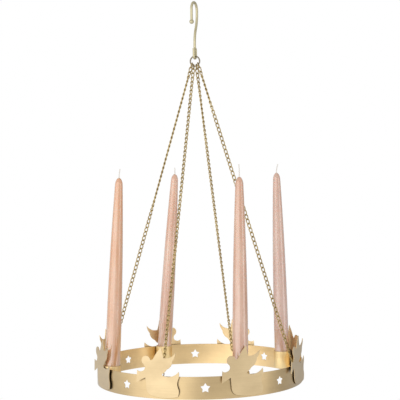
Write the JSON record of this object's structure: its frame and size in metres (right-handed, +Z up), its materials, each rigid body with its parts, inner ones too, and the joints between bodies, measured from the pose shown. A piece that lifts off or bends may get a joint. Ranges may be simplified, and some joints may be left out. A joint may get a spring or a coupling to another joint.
{
  "type": "hanging advent candle holder",
  "caption": "Brass advent candle holder: a band with star cut-outs, angel plates and cups with taper candles, hung by curb chains from a ring and wire hook.",
  "frame": {"origin": "point at the top of the hook's inner bend, where it bears on its nail or ceiling hook", "axes": "+Z up along the hanging line; the chains end on the X and Y sides of the band; the hook bends in the YZ plane with its open tip to -Y"},
  "size_m": [0.3202, 0.3202, 0.5875],
  "materials": {
    "brass_sheet": "brushed along the band",
    "brass_plate": "satin sheet",
    "brass_cup": "polished, turned",
    "brass_chain": "aged wire",
    "brass_wire": "drawn wire",
    "wax": "dusty pink candle wax",
    "cotton": "waxed cotton cord"
  },
  "bodies": {
    "hanger": {"hook": "brass_wire", "hook_ball": "brass_wire"},
    "ring": {"top_ring": "brass_wire"},
    "wreath": {"ring_band": "brass_sheet", "angel_1": "brass_plate", "angel_2": "brass_plate", "angel_3": "brass_plate", "angel_4": "brass_plate", "angel_5": "brass_plate", "angel_6": "brass_plate", "angel_7": "brass_plate", "angel_8": "brass_plate", "candle_cup_1": "brass_cup", "candle_cup_2": "brass_cup", "candle_cup_3": "brass_cup", "candle_cup_4": "brass_cup", "chain_lug_1": "brass_wire", "chain_lug_2": "brass_wire", "chain_lug_3": "brass_wire", "chain_lug_4": "brass_wire", "chain_1": "brass_chain", "chain_2": "brass_chain", "chain_3": "brass_chain", "chain_4": "brass_chain"},
    "taper_1": {"candle_1": "wax", "wick_1": "cotton"},
    "taper_2": {"candle_2": "wax", "wick_2": "cotton"},
    "taper_3": {"candle_3": "wax", "wick_3": "cotton"},
    "taper_4": {"candle_4": "wax", "wick_4": "cotton"}
  },
  "joints": [
    {"name": "ring_swing", "type": "hinge", "parent": "hanger", "child": "ring", "pos_m": [0, 0, -0.084], "axis": [0, 1, 0], "range_deg": [-20, 20]},
    {"name": "wreath_swing", "type": "hinge", "parent": "ring", "child": "wreath", "pos_m": [0, 0, -0.0948], "axis": [1, 0, 0], "range_deg": [-12, 12]},
    {"name": "candle_1_lift", "type": "slide", "parent": "wreath", "child": "taper_1", "axis": [-0.0175, 0, 0.9998], "range_m": [0, 0.04]},
    {"name": "candle_2_lift", "type": "slide", "parent": "wreath", "child": "taper_2", "axis": [0.0819, 0, 0.9966], "range_m": [0, 0.04]},
    {"name": "candle_3_lift", "type": "slide", "parent": "wreath", "child": "taper_3", "axis": [0.0576, 0, 0.9983], "range_m": [0, 0.04]},
    {"name": "candle_4_lift", "type": "slide", "parent": "wreath", "child": "taper_4", "axis": [0.0087, 0, 1], "range_m": [0, 0.04]}
  ]
}
